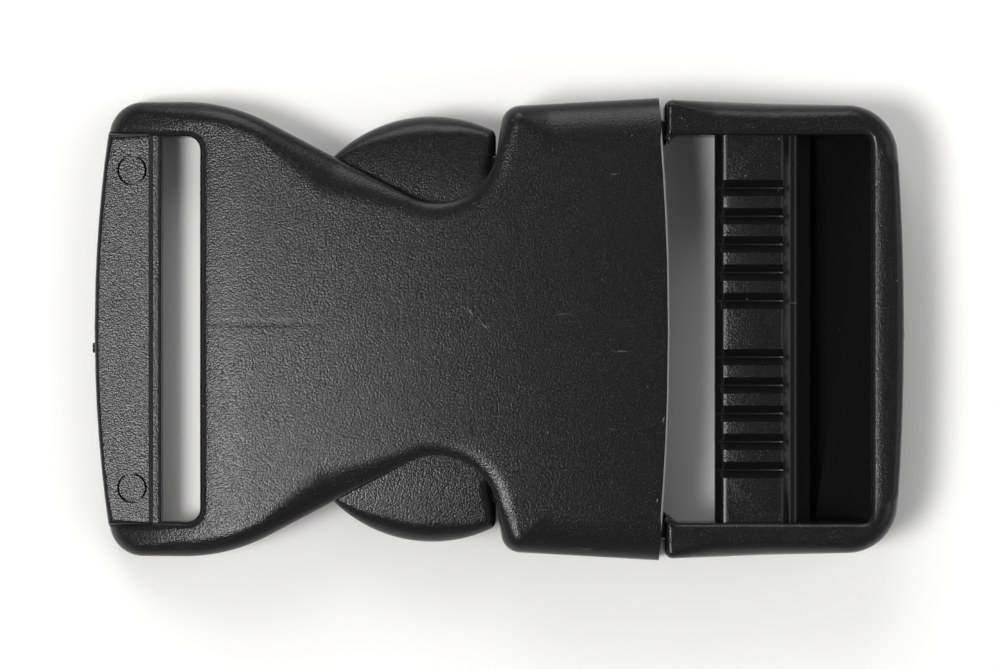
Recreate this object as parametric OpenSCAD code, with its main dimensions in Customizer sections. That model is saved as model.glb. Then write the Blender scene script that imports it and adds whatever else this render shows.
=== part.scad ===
// Side release buckle for 50 mm webbing, fastened, lying on its flat underside.
// The socket is a hollow sleeve with two open windows, a strap slot and a strap bar.
// The plug is one moulding: two sprung arms with press pads, a guide prong, a square frame,
// a grooved ladder bar and an end bar with a slanted inner shelf.
// X runs along the buckle from the strap bar to the end bar, Y across it, Z up from the
// surface that it lies on. The origin is at the bottom centre of the whole buckle.

/* [Webbing] */
// Clear length of the strap slots across the buckle
slot_len = 51.6; // [46:0.2:58]
// Width of the strap slot in the socket, at its top
strap_slot_w = 6.3; // [5.4:0.1:8]
// Width of the slot between the socket and the ladder bar
inner_slot_w = 6.05; // [5:0.05:8]
// Width of the slot between the ladder bar and the end bar, at its top
outer_slot_w = 9.6; // [8.4:0.1:12]

/* [Socket] */
// Length of the socket from the strap bar to the mouth
socket_len = 77.1; // [74:0.1:84]
// Length of the closed sleeve between the windows and the mouth
sleeve_len = 22.8; // [20:0.1:25]
// Length of each side window
window_len = 23.6; // [22:0.1:25]
// Width of the strap bar
strap_bar_w = 9; // [7:0.1:10]
// How deep the strap bar lies below the rails beside it
bar_sink = 0.9; // [0.5:0.1:1.4]
// Width of the rails beside the strap slot
strap_rail_w = 4.7; // [4:0.1:5.4]
// How far the shoulder of the sleeve stands out past the slot length
shoulder_w = 3.9; // [3.5:0.1:4.5]
// How far the side of the mouth stands out past the slot length
mouth_side_w = 5.15; // [4.6:0.05:6]
// Width over the waist, between the two bays
waist_w = 33.6; // [30:0.2:37]
// Radius of each bay
bay_r = 8.2; // [7:0.1:9]
// Slant of the neck between the strap end and the waist, in degrees
neck_slant = 28; // [25:0.5:32]
// Thickness at the mouth
mouth_t = 15; // [14:0.1:17]
// Thickness at the strap end
strap_end_t = 6.6; // [6:0.1:8]
// Thickness of the top and bottom plates
plate_t = 2.1; // [1.7:0.1:2.4]
// Thickness of the side walls at the mouth
side_wall_t = 2.2; // [1.8:0.1:2.6]
// Thickness of the side walls where the pads latch
catch_t = 6.4; // [5.4:0.1:7.4]
// How much lower the top lies at the sides than along the middle
crown = 0.6; // [0.2:0.1:1]
// How far the mouth edge bows outwards
mouth_bow = 1.5; // [0.8:0.1:2]
// How far the strap bar bows outwards
strap_bow = 1.8; // [1:0.1:2.4]
// Diameter of the two ejector marks on the strap bar
ejector_d = 3.7; // [2.5:0.1:4.5]
// Diameter of the scar at either end where the runner was cut off
scar_d = 1.4; // [0.8:0.1:2]

/* [Plug] */
// Width of the frame's rails
frame_rail_w = 4.8; // [4.2:0.1:5.6]
// Thickness of the frame
frame_t = 12.8; // [12.4:0.1:13.6]
// Width of the ladder bar
ladder_w = 11.1; // [10.2:0.1:13]
// Thickness of the ladder bar up to its lands
ladder_t = 4.6; // [3.8:0.1:5]
// Width of the lands on the ladder bar
land_w = 8.5; // [6.5:0.1:8.8]
// Height of the lands
land_h = 1.2; // [1:0.1:1.5]
// Distance from one groove to the next
groove_pitch = 3.76; // [3.2:0.02:4.2]
// Width of each groove
groove_w = 2.2; // [1.4:0.1:2.8]
// Depth of each groove
groove_d = 0.9; // [0.5:0.1:1]
// Number of grooves on each side of the middle
groove_n = 5; // [2:1:5]
// Width of the end bar along its top
end_bar_w = 4.45; // [3.8:0.05:5.5]
// How far the end bar bows outwards
end_bow = 1; // [0.5:0.1:1.5]
// Thickness of the slanted shelf below the end bar
shelf_t = 2.2; // [1.6:0.1:2.8]
// Width of the sprung arms
arm_w = 4.3; // [3.6:0.1:5]
// Thickness of the sprung arms
arm_t = 7; // [5:0.1:8]
// Length of the plug's base inside the mouth
base_len = 5.4; // [4.4:0.1:7]
// Distance over the two press pads
pad_span = 57; // [55.4:0.2:58]
// Clear distance between the two press pads, inside the socket
pad_clear = 28; // [26:0.2:31]
// Radius of the outer edge of each press pad
pad_r = 18.5; // [17:0.5:21]
// Width of the guide prong
prong_w = 4.6; // [3:0.1:6]
// Length of the guide prong
prong_len = 26; // [20:0.5:32]

/* [Fit] */
// Gap between the plug and the socket
fit_gap = 0.3; // [0.2:0.05:0.4]
// Gap between the shoulder of each pad and the end of its window
latch_gap = 1.1; // [0.8:0.1:1.6]
// Gap between the tip of each pad and the other end of its window
tip_gap = 0.8; // [0.6:0.1:1.2]
// Gap between the sides of the mouth and the frame's rails
rail_gap = 1.2; // [0.8:0.1:1.6]

/* [Hidden] */
// Turn of each short stretch of a round corner, in degrees
arc_step = 15;
// Steps in the rolled edge of a plate
roll_steps = 4;
// How far a cutter runs past what it cuts
past = 3;

// Places along X
total_len = socket_len + inner_slot_w + ladder_w + outer_slot_w + end_bar_w;
strap_x = -total_len / 2;
strap_slot_x0 = strap_x + strap_bar_w;
strap_slot_x1 = strap_slot_x0 + strap_slot_w;
mouth_x = strap_x + socket_len;
window_x1 = mouth_x - sleeve_len;
window_x0 = window_x1 - window_len;
ladder_x0 = mouth_x + inner_slot_w;
ladder_x1 = ladder_x0 + ladder_w;
end_x = total_len / 2;
end_bar_x0 = end_x - end_bar_w;
base_x1 = mouth_x - mouth_bow;
base_x0 = base_x1 - base_len;
frame_x0 = base_x1 + rail_gap;

// Places along Y
slot_half = slot_len / 2;
strap_half = slot_half + strap_rail_w;
shoulder_half = slot_half + shoulder_w;
mouth_half = slot_half + mouth_side_w;
frame_half = slot_half + frame_rail_w;
catch_half = shoulder_half - catch_t;
mouth_inner_half = mouth_half - side_wall_t;

// Heights
frame_z0 = 0.6;
frame_z1 = frame_z0 + frame_t;
land_sink = 1.2;
land_z1 = frame_z1 - land_sink;
ladder_z1 = land_z1 - land_h;
ladder_z0 = ladder_z1 - ladder_t;
base_z0 = plate_t + fit_gap;

function unit(v) = v / norm(v);
function xy(p) = [p[0], p[1]];

// Height of the socket's top along the middle: level at the mouth, then falling ever faster
function fall(x) = mouth_t - (mouth_t - strap_end_t) * pow((mouth_x - min(x, mouth_x)) / socket_len, 2);
function socket_top(x, y) = fall(x) - crown * pow(y / mouth_half, 2);
function socket_ceiling(x) = fall(x) - crown - plate_t;
// Inner face of the side wall, which ramps in from the mouth to the catch
function side_wall_y(x) = catch_half + (mouth_inner_half - catch_half) * (x - window_x1) / sleeve_len;
// How far a bowed edge has drawn back at y
function drawn_back(bow, y) = bow * pow(y / slot_half, 2);

// A row of an outline is [x, y, corner radius, roll, drop]. The top edge rolls over inwards by
// roll and downwards by drop.
function arc_of(a, b, c) =
    let (
        u = unit(xy(b) - xy(a)),
        v = unit(xy(c) - xy(b)),
        side = sign(u[0] * v[1] - u[1] * v[0]),
        turn = acos(u * v),
        start = xy(b) - u * b[2] * tan(turn / 2),
        centre = start + side * b[2] * [-u[1], u[0]],
        spoke = start - centre,
        steps = ceil(turn / arc_step)
    )
    [for (k = [0:steps]) let (w = side * turn * k / steps)
        [
            centre[0] + spoke[0] * cos(w) - spoke[1] * sin(w),
            centre[1] + spoke[0] * sin(w) + spoke[1] * cos(w),
            b[3],
            b[4]
        ]
    ];
function rounded(rows) =
    [for (i = [0:len(rows) - 1])
        each (rows[i][2] == 0
            ? [[rows[i][0], rows[i][1], rows[i][3], rows[i][4]]]
            : arc_of(rows[i - 1], rows[i], rows[i + 1]))
    ];
function mirrored(path) = [for (p = path) [p[0], -p[1], p[2], p[3]]];

// Outward direction at point i of a loop, or straight out sideways at the two points of a flat end
function outward(loop, i, flat_at) =
    i == flat_at ? [0, 1]
    : i == flat_at + 1 ? [0, -1]
    : let (
        n = len(loop),
        before = xy(loop[(i + n - 1) % n]),
        here = xy(loop[i]),
        after = xy(loop[(i + 1) % n]),
        t = unit(unit(after - here) + unit(here - before))
    ) [-t[1], t[0]];

// A moulded plate between two outlines that run left to right, with a flat foot, a top whose
// height is a function of x and y, and rolled edges. columns is the number of strips across the top.
module plate_body(upper, lower, top, foot, foot_roll, columns, flat_end) {
    n = len(upper) - 1;
    rows_n = flat_end ? n : n - 1;
    loop = concat(upper, [for (i = [n:-1:0]) lower[i]]);
    count = len(loop);
    away = [for (i = [0:count - 1]) outward(loop, i, flat_end ? n : -9)];
    low = [for (a = [0, 45, 90])
        [for (i = [0:count - 1])
            let (roll = min(foot_roll, loop[i][2]), p = xy(loop[i]) - away[i] * roll * (1 - sin(a)))
            [p[0], p[1], foot + roll * (1 - cos(a))]
        ]];
    high = [for (k = [0:roll_steps]) let (a = 90 * k / roll_steps)
        [for (i = [0:count - 1])
            let (p = xy(loop[i]) - away[i] * loop[i][2] * (1 - cos(a)))
            [p[0], p[1], top(p[0], p[1]) - loop[i][3] * (1 - sin(a))]
        ]];
    rings = concat(low, high);
    last = (len(rings) - 1) * count;
    rim = rings[len(rings) - 1];
    rows = [for (i = [1:rows_n]) for (m = [1:1:columns - 1])
        let (p = rim[i] + (rim[count - 1 - i] - rim[i]) * m / columns)
        [p[0], p[1], top(p[0], p[1])]];
    function cell(i, m) =
        m == 0 ? last + i
        : m == columns ? last + count - 1 - i
        : last + count + (i - 1) * (columns - 1) + m - 1;
    sides = [for (k = [0:len(rings) - 2]) for (j = [0:count - 1])
        let (a = k * count + j, b = k * count + (j + 1) % count)
        each [[a, b, b + count], [a, b + count, a + count]]];
    strips = [for (i = [1:rows_n - 1]) for (m = [0:columns - 1])
        each [
            [cell(i, m), cell(i + 1, m), cell(i + 1, m + 1)],
            [cell(i, m), cell(i + 1, m + 1), cell(i, m + 1)]
        ]];
    first = [for (m = [0:columns - 1]) [cell(0, 0), cell(1, m), cell(1, m + 1)]];
    end = [for (m = [flat_end ? 1 : 0:1:columns - 1]) [cell(n, 0), cell(rows_n, m + 1), cell(rows_n, m)]];
    lid = concat(
        strips, first, [[cell(0, 0), cell(1, columns), cell(0, columns)]],
        end, flat_end ? [] : [[cell(n, 0), cell(n, columns), cell(n - 1, columns)]]
    );
    floor_strips = [for (i = [0:n - 1]) let (j = count - 1 - i)
        each [[i, j, i + 1], [i + 1, j, j - 1]]];
    polyhedron(
        points = concat([for (r = rings) each r], rows),
        faces = concat(sides, lid, floor_strips)
    );
}

// Loop of a rounded rectangle from x0 to x1 and half wide to each side, let out all round
function slot_loop(x0, x1, half, corner, out) = [
    for (spot = [[x1, 1, 0], [x0, 1, 90], [x0, -1, 180], [x1, -1, 270]])
        for (k = [0:90 / arc_step])
            let (w = spot[2] + k * arc_step, inward = spot[0] == x1 ? -1 : 1)
            [
                spot[0] + inward * corner + (corner + out) * cos(w),
                spot[1] * (half - corner) + (corner + out) * sin(w)
            ]
];

// A slot through a plate whose top rises by slope along X, with its top edge rounded by lip
module slot_cutter(x0, x1, half, corner, lip, top, slope) {
    levels = concat(
        [[-2 * past, 0]],
        [for (a = [0:30:90]) [top - lip * (1 - sin(a)), lip * (1 - cos(a))]],
        [[top + past, lip + 0.4]]
    );
    rings = [for (level = levels)
        [for (p = slot_loop(x0, x1, half, corner, level[1])) [p[0], p[1], level[0] + slope * (p[0] - x1)]]];
    count = len(rings[0]);
    polyhedron(
        points = [for (r = rings) each r],
        faces = concat(
            [for (k = [0:len(rings) - 2]) for (j = [0:count - 1])
                let (a = k * count + j, b = k * count + (j + 1) % count)
                each [[a, b + count, b], [a, a + count, b + count]]],
            [[for (j = [0:count - 1]) j]],
            [[for (j = [count - 1:-1:0]) (len(rings) - 1) * count + j]]
        )
    );
}

// Half outline of the socket seen from above, from the strap bar round the bay to past the mouth
bay_lean = 8;
shoulder_in = 0.2;
bay_centre = [window_x1 - shoulder_in - bay_r * cos(bay_lean), waist_w / 2 + bay_r];
bay_turn = 180 - 90 + neck_slant - bay_lean;
bay_mid = -90 - neck_slant + bay_turn / 2;
bay_corner = bay_centre + bay_r / cos(bay_turn / 2) * [cos(bay_mid), sin(bay_mid)];
neck_foot = bay_centre - bay_r * [sin(neck_slant), cos(neck_slant)];
crest_x = neck_foot[0] - (strap_half - neck_foot[1]) / tan(neck_slant);
bay_top = bay_centre[1] - bay_r * sin(bay_lean);
shoulder_x = window_x1 - shoulder_in + (shoulder_half - bay_top) * tan(bay_lean);
mouth_flare = (mouth_half - shoulder_half) / (mouth_x - shoulder_x);
strap_corner_r = 3.8;
strap_corner_x = strap_x + drawn_back(strap_bow, strap_half);
crest_run = crest_x - strap_corner_x - 1.2 * strap_corner_r;
crest_r = min(16, crest_run / tan(neck_slant / 2));
roll_change_x = mouth_x - 4;
function socket_outline() = rounded(concat(
    [for (share = [0.1, 0.4, 0.65, 0.8]) let (y = share * strap_half)
        [strap_x + (share > 0.1 ? drawn_back(strap_bow, y) : 0), y, 0, 0.8, 1]],
    [
        [strap_corner_x, strap_half, strap_corner_r, 2.2, 2.4],
        [crest_x, strap_half, crest_r, 4.2, 3],
        [bay_corner[0], bay_corner[1], bay_r, 1.5, 1.3],
        [shoulder_x, shoulder_half, 2.6, 2.3, 2.6],
        [roll_change_x, mouth_half - (mouth_x - roll_change_x) * mouth_flare, 0, 3, 3.4],
        [mouth_x + past, mouth_half + past * mouth_flare, 0, 3, 3.4]
    ]
));

// Everything to the right of the bowed mouth edge
module beyond_mouth() {
    r = (mouth_half * mouth_half + mouth_bow * mouth_bow) / (2 * mouth_bow);
    difference() {
        translate([mouth_x - 2 * mouth_bow, -mouth_half - past, -past])
            cube([2 * mouth_bow + 2 * past, 2 * (mouth_half + past), mouth_t + 2 * past]);
        translate([mouth_x - r, 0, -2 * past])
            cylinder(r = r, h = mouth_t + 4 * past, $fn = 300);
    }
}

// The hollow for the plug: between the plates, out through both windows and out of the mouth
module socket_hollow() {
    slot_wall = 3.2;
    core_x = strap_slot_x1 + slot_wall;
    core_half = waist_w / 2;
    nose_half = core_half + 4.6;
    wide = strap_half + past;
    last = 7;
    half = [
        [mouth_x + past, side_wall_y(mouth_x + past)],
        [window_x1, catch_half],
        [window_x1, wide],
        [window_x0, wide],
        [window_x0, nose_half],
        [core_x, core_half]
    ];
    stations = [for (k = [0:last]) core_x - 1 + (mouth_x + past - core_x + 1) * k / last];
    intersection() {
        translate([0, 0, -past])
            linear_extrude(height = mouth_t + 2 * past)
                polygon(concat(half, [for (k = [len(half) - 1:-1:0]) [half[k][0], -half[k][1]]]));
        rotate([90, 0, 0])
            linear_extrude(height = 2 * wide, center = true)
                polygon(concat(
                    [[stations[last], plate_t], [stations[0], plate_t]],
                    [for (x = stations) [x, socket_ceiling(x)]]
                ));
    }
}

// Slope of the top beside the strap slot, as a straight line
strap_slope = (fall(strap_slot_x1) - fall(strap_x)) / (strap_slot_x1 - strap_x);
function bar_top(x) = fall(strap_slot_x1) - crown - strap_slope * (strap_slot_x1 - x) - bar_sink;

// The strap bar between the rails, with a bowed outer edge and a step along the slot
module strap_bar() {
    into_rail = 0.5;
    step_w = 1.3;
    step_d = 0.5;
    rim = 0.7;
    foot = 0.5;
    step_z = bar_top(strap_slot_x0 - step_w) - step_d;
    span = slot_half + into_rail;
    marks = [-1, -0.75, -0.5, -0.25, 0, 0.25, 0.5, 0.75, 1];
    sections = [for (share = marks)
        let (
            y = share * span,
            x0 = strap_x + drawn_back(strap_bow, y) * (share == 0 ? 0 : 1),
            x1 = strap_slot_x0
        )
        [for (p = [
            [x0 + foot, 0],
            [x0, foot],
            [x0, bar_top(x0) - rim],
            [x0 + 0.3 * rim, bar_top(x0) - 0.3 * rim],
            [x0 + rim, bar_top(x0 + rim)],
            [x1 - step_w, bar_top(x1 - step_w)],
            [x1 - step_w + 0.3, step_z],
            [x1 - foot, step_z],
            [x1, step_z - foot],
            [x1, foot],
            [x1 - foot, 0]
        ]) [p[0], y, p[1]]]
    ];
    count = len(sections[0]);
    polyhedron(
        points = [for (s = sections) each s],
        faces = concat(
            [for (k = [0:len(sections) - 2]) for (j = [0:count - 1])
                let (a = k * count + j, b = k * count + (j + 1) % count)
                each [[a, b + count, b], [a, a + count, b + count]]],
            [[for (j = [0:count - 1]) j]],
            [[for (j = [count - 1:-1:0]) (len(sections) - 1) * count + j]]
        )
    );
}

module ejector_marks() {
    inset_x = 5.3;
    inset_y = 4.6;
    lift = 0.12;
    for (side = [-1, 1])
        translate([strap_x + inset_x, side * (slot_half - inset_y), bar_top(strap_x + inset_x) - 1])
            rotate([0, -atan(strap_slope), 0])
                cylinder(d = ejector_d, h = 1 + lift, $fn = 32);
}

// The small round scar left at an end where the runner was cut off, drawn about x
module gate_scar(x, y, z) {
    reach = 1;
    translate([x - reach, y, z])
        rotate([0, 90, 0])
            cylinder(d = scar_d, h = 2 * reach, $fn = 16);
}

module socket() {
    lip = 1;
    color("#2b2b2c")
    difference() {
        union() {
            difference() {
                plate_body(socket_outline(), mirrored(socket_outline()),
                    function (x, y) socket_top(x, y), 0, 1.2, 4, true);
                slot_cutter(strap_x - 3 * past, strap_slot_x1 - lip, slot_half, 1.8, lip,
                    fall(strap_slot_x1) - crown, strap_slope);
            }
            strap_bar();
            ejector_marks();
            gate_scar(strap_x + 0.7, -2.5, strap_end_t / 2);
        }
        socket_hollow();
        beyond_mouth();
    }
}

// Half outline of the plug's frame seen from above, with sides that draw in towards the end bar
function frame_outline() =
    let (side_in = 0.9, corner_x = end_x - 1.1, roll_x0 = frame_x0 + 7, roll_x1 = end_x - 9)
    rounded(concat(
        [
            [frame_x0 + 1.5, 0.5 * slot_half, 0, 1.4, 2],
            [frame_x0, 0.95 * slot_half, 0, 1.4, 2],
            [frame_x0, frame_half, 2.4, 1.8, 2.4],
            [roll_x0, frame_half - 0.2 * side_in, 0, 2.8, 4],
            [roll_x1, frame_half - 0.75 * side_in, 0, 2.8, 4],
            [corner_x, frame_half - side_in, 4.6, 1.8, 2]
        ],
        [for (share = [0.85, 0.6, 0.35, 0.12]) let (y = share * slot_half)
            [end_x - (share > 0.2 ? drawn_back(end_bow, y) : 0), y, 0, 0.9, 0.9]]
    ));

// The grooved bar, drawn as its profile along the buckle and pushed across it
module ladder_bar() {
    land_x0 = ladder_x0 + 0.75;
    land_x1 = land_x0 + land_w;
    edge = 0.4;
    nose = 0.8;
    difference() {
        rotate([90, 0, 0])
            linear_extrude(height = slot_len + 1, center = true)
                polygon([
                    [ladder_x0 + nose, ladder_z0],
                    [ladder_x0, ladder_z0 + nose],
                    [ladder_x0, ladder_z1 - nose],
                    [land_x0 - edge, ladder_z1],
                    [land_x0, land_z1 - edge],
                    [land_x0 + edge, land_z1],
                    [land_x1 - edge, land_z1],
                    [land_x1, land_z1 - edge],
                    [land_x1 + edge / 2, ladder_z1],
                    [ladder_x1 - edge, ladder_z1],
                    [ladder_x1, ladder_z1 - edge],
                    [ladder_x1, ladder_z0 + nose],
                    [ladder_x1 - nose, ladder_z0]
                ]);
        for (side = [-1, 1])
            for (k = [1:groove_n])
                translate([land_x0 - 1, side * k * groove_pitch, land_z1 - groove_d])
                    rotate([90, 0, 90])
                        linear_extrude(height = land_w + 2)
                            polygon([
                                [0, 0],
                                [groove_w / 2, groove_d],
                                [groove_w / 2, 2 * groove_d],
                                [-groove_w / 2, 2 * groove_d],
                                [-groove_w / 2, groove_d]
                            ]);
    }
}

// The slanted shelf that runs down from the end bar and under the ladder bar
module shelf() {
    toe_x0 = ladder_x1 - 0.5;
    toe_x1 = ladder_x1 + 2.2;
    toe_t = 1.6;
    toe_z1 = frame_z0 + toe_t;
    slope_z1 = frame_z1 - 2;
    rise = atan((slope_z1 - toe_z1) / (end_bar_x0 - toe_x1));
    under = shelf_t / sin(rise);
    rotate([90, 0, 0])
        linear_extrude(height = slot_len + 1, center = true)
            polygon([
                [toe_x0, frame_z0],
                [toe_x0, toe_z1 - 0.5],
                [toe_x0 + 0.5, toe_z1],
                [toe_x1, toe_z1],
                [end_bar_x0, slope_z1],
                [end_bar_x0 + 1, slope_z1],
                [end_bar_x0 + 1, slope_z1 - (under - 1) * tan(rise)],
                [toe_x1 + under - toe_t / tan(rise), frame_z0]
            ]);
}

module frame() {
    lip = 0.8;
    difference() {
        plate_body(frame_outline(), mirrored(frame_outline()),
            function (x, y) frame_z1, frame_z0, 1.4, 1, false);
        slot_cutter(frame_x0 - 3 * past, end_bar_x0, slot_half, 1, lip, frame_z1, 0);
    }
    ladder_bar();
    shelf();
    gate_scar(end_x - 0.7, -0.7, frame_z0 + frame_t / 2);
}

// The block inside the mouth, with a neck out to each rail
module base() {
    height = socket_ceiling(base_x0) - fit_gap - base_z0;
    rail_x = frame_x0 + 3;
    neck_half = side_wall_y(base_x1) - fit_gap;
    translate([0, 0, base_z0])
        linear_extrude(height = height) {
            polygon([
                [base_x0, side_wall_y(base_x0) - fit_gap],
                [base_x1, neck_half],
                [base_x1, -neck_half],
                [base_x0, -side_wall_y(base_x0) + fit_gap]
            ]);
            for (side = [-1, 1])
                polygon([
                    [base_x1 - 1, side * neck_half],
                    [rail_x, side * neck_half],
                    [rail_x, side * (slot_half + 0.1)],
                    [base_x1 + 2.8, side * (slot_half + 0.1)],
                    [base_x1, side * (slot_half - 1.5)],
                    [base_x1 - 1, side * (slot_half - 1.5)]
                ]);
        }
}

// Outer edge of a press pad, an arc about a point on the pad's own middle
pad_x0 = window_x0 + tip_gap;
pad_x1 = window_x1 - latch_gap;
pad_mid_x = window_x1 - 9;
function pad_outer(x) = pad_span / 2 - pad_r + sqrt(pad_r * pad_r - pow(x - pad_mid_x, 2));
pad_fall = 0.9;
function pad_top(x, y) =
    socket_ceiling(x) - fit_gap - pad_fall * pow(max(0, y - waist_w / 2) / (pad_span / 2 - waist_w / 2), 2);

// Columns: share of the pad's length, share of its width, roll of the outer edge
pad_table = [
    [0, 0.12, 0.5],
    [0.06, 0.28, 1],
    [0.16, 0.5, 1.8],
    [0.3, 0.78, 2.4],
    [0.45, 0.96, 2.6],
    [0.6, 1, 2.6],
    [0.74, 0.93, 2.5],
    [0.86, 0.78, 2.4],
    [1, 0.56, 2.2]
];

module press_pad() {
    pad_w = (pad_span - pad_clear) / 2;
    xs = [for (row = pad_table) pad_x0 + (pad_x1 - pad_x0) * row[0]];
    outer = [for (k = [0:len(xs) - 1]) [xs[k], pad_outer(xs[k]), pad_table[k][2], pad_table[k][2]]];
    inner = [for (k = [0:len(xs) - 1])
        [xs[k], pad_outer(xs[k]) - pad_w * pad_table[k][1], min(1, pad_table[k][2]), 0.8]];
    plate_body(outer, inner, function (x, y) pad_top(x, y), base_z0, 0.8, 3, false);
}

// One sprung arm from the base to its pad
module arm() {
    mid_z = base_z0 + (socket_ceiling(window_x1) - fit_gap - base_z0) / 2;
    slack = 2 * fit_gap;
    tip_x = window_x1 - 4;
    bend_x = window_x1 + 3;
    root_x = base_x0 + 0.5;
    tip_y = catch_half - fit_gap;
    bend_y = side_wall_y(bend_x) - slack;
    root_y = side_wall_y(base_x0) - slack;
    translate([0, 0, mid_z - arm_t / 2])
        linear_extrude(height = arm_t)
            polygon([
                [tip_x, tip_y],
                [bend_x, bend_y],
                [root_x, root_y],
                [root_x, root_y - arm_w],
                [bend_x, bend_y - arm_w],
                [tip_x, tip_y - arm_w]
            ]);
}

module guide_prong() {
    prong_t = 6;
    taper = 2;
    tip_x = base_x0 - prong_len;
    translate([0, 0, base_z0])
        linear_extrude(height = prong_t)
            polygon([
                [base_x0 + 0.5, prong_w / 2],
                [tip_x + taper, prong_w / 2],
                [tip_x, prong_w / 4],
                [tip_x, -prong_w / 4],
                [tip_x + taper, -prong_w / 2],
                [base_x0 + 0.5, -prong_w / 2]
            ]);
}

module plug() {
    color("#232324") {
        frame();
        base();
        guide_prong();
        for (side = [0, 1])
            mirror([0, side, 0]) {
                arm();
                press_pad();
            }
    }
}

socket();
plug();
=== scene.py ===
# %% [markdown]
# # A side release buckle, fastened
# The real buckle is two mouldings of black plastic that snap together: a hollow socket and a plug
# with two sprung arms. The imported solids already give every size. This notebook models both
# mouldings again as fine meshes, because the photo shows rolled edges, a bowed mouth and a pebbled
# skin that need far more faces than an imported solid carries. Each new mesh takes the place of
# the solid with the same form, and every length below is in millimetres until the last step.

# %% Load the frame
import math

import bmesh
import bpy
from mathutils import Matrix, Vector


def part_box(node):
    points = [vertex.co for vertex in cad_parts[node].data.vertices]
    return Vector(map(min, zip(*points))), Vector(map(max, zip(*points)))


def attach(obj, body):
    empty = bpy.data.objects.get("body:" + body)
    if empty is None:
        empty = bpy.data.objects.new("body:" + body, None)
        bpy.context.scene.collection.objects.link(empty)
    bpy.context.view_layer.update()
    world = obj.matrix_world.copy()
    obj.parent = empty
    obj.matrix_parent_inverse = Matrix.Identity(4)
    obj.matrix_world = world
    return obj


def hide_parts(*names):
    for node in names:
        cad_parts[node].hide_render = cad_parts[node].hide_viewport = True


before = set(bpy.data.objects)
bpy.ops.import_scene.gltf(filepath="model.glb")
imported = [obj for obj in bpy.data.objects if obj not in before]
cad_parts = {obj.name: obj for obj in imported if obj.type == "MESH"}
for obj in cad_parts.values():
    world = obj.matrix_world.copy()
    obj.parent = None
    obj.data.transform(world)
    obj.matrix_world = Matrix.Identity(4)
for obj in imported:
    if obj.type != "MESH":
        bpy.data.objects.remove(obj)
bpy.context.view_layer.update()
MM = 0.001
socket_low, socket_high = (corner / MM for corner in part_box("socket"))
plug_low, plug_high = (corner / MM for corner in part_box("plug"))
print("socket", [round(v, 2) for v in (*socket_low, *socket_high)])
print("plug", [round(v, 2) for v in (*plug_low, *plug_high)])

# %% [markdown]
# ## Sizes along the buckle
# A maker lays a buckle out from its webbing: the slots are a little longer than the strap is wide,
# and the rails stand outside them. The ends come from the frame, so the meshes can't drift away
# from the solids, and the rest are the lengths that a drawing of the two mouldings would give.

# %% Lengths along the buckle
strap_bar_w = 9
strap_slot_w = 6.3
window_len = 23.6
sleeve_len = 22.8
mouth_bow = 1.5
inner_slot_w = 6.05
ladder_w = 11.1
end_bar_w = 4.45
base_len = 5.4
rail_gap = 0.8
scar_out = 0.3

# %% Places along X
strap_x = socket_low.x + scar_out
mouth_x = socket_high.x
end_x = plug_high.x - scar_out
window_x1 = mouth_x - sleeve_len
window_x0 = window_x1 - window_len
slot_x0 = strap_x + strap_bar_w
slot_x1 = slot_x0 + strap_slot_w
ladder_x0 = mouth_x + inner_slot_w
ladder_x1 = ladder_x0 + ladder_w
end_bar_x0 = end_x - end_bar_w
base_x1 = mouth_x - mouth_bow
base_x0 = base_x1 - base_len
frame_x0 = base_x1 + rail_gap
print("strap bar", strap_x, "mouth", mouth_x, "ladder bar", ladder_x0, "to", ladder_x1, "end", end_x)

# %% Places across the buckle and heights
slot_half = 25.8
strap_half = 30.5
waist_half = 16.8
shoulder_half = 29.7
mouth_half = 30.95
frame_half = 30.6
catch_half = 23.3
mouth_inner_half = 28.75
mouth_t = socket_high.z
strap_end_t = 6.6
plate_t = 2.1
crown = 0.6
fit_gap = 0.3
frame_z0 = plug_low.z
frame_z1 = plug_high.z
base_z0 = plate_t + fit_gap

# %% [markdown]
# ## Outlines, drawn with a pen
# Seen from above both mouldings are made of straight runs and round corners. A pen that walks along
# the outline draws them exactly: a straight run is one extruded vertex, and a round corner is that
# vertex spun about the corner's centre. Bevelling the corners of a polygon would be quicker, but a
# bevel bends an arc out of round when the corner isn't square. The roll of each edge is stored on
# the vertices, so that a later step knows how wide and how deep the top edge turns over there.

# %% A pen for outlines
ARC_STEP = 0.55
LONGEST_STEP = 1.6 * ARC_STEP
SAME_PLACE = 0.001


def pen_layers(bm):
    layers = bm.verts.layers.float
    return layers.get("roll") or layers.new("roll"), layers.get("drop") or layers.new("drop")


def draw_chain(bm, rows):
    """Draws one open chain. A row is (x, y, corner radius, roll, drop)."""
    roll, drop = pen_layers(bm)
    points = [Vector((row[0], row[1], 0)) for row in rows]
    pen = bm.verts.new(points[0])
    pen[roll], pen[drop] = rows[0][3:]
    for i in range(1, len(rows)):
        radius = rows[i][2]
        turn = 0
        target = points[i]
        if radius:
            into = (points[i] - points[i - 1]).normalized()
            out = (points[i + 1] - points[i]).normalized()
            side = math.copysign(1, into.cross(out).z)
            turn = into.angle(out)
            target = points[i] - into * radius * math.tan(turn / 2)
        made = bmesh.ops.extrude_vert_indiv(bm, verts=[pen])
        pen = made["verts"][0]
        pen.co = target
        pen[roll], pen[drop] = rows[i][3:]
        if turn:
            centre = target + Vector((-into.y, into.x, 0)) * radius * side
            steps = max(2, math.ceil(radius * turn / ARC_STEP))
            spun = bmesh.ops.spin(
                bm, geom=[pen], cent=centre, axis=(0, 0, 1), dvec=(0, 0, 0), angle=turn * side,
                space=Matrix.Identity(4), steps=steps, use_merge=False, use_duplicate=False)
            pen = [item for item in spun["geom_last"] if isinstance(item, bmesh.types.BMVert)][0]


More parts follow.
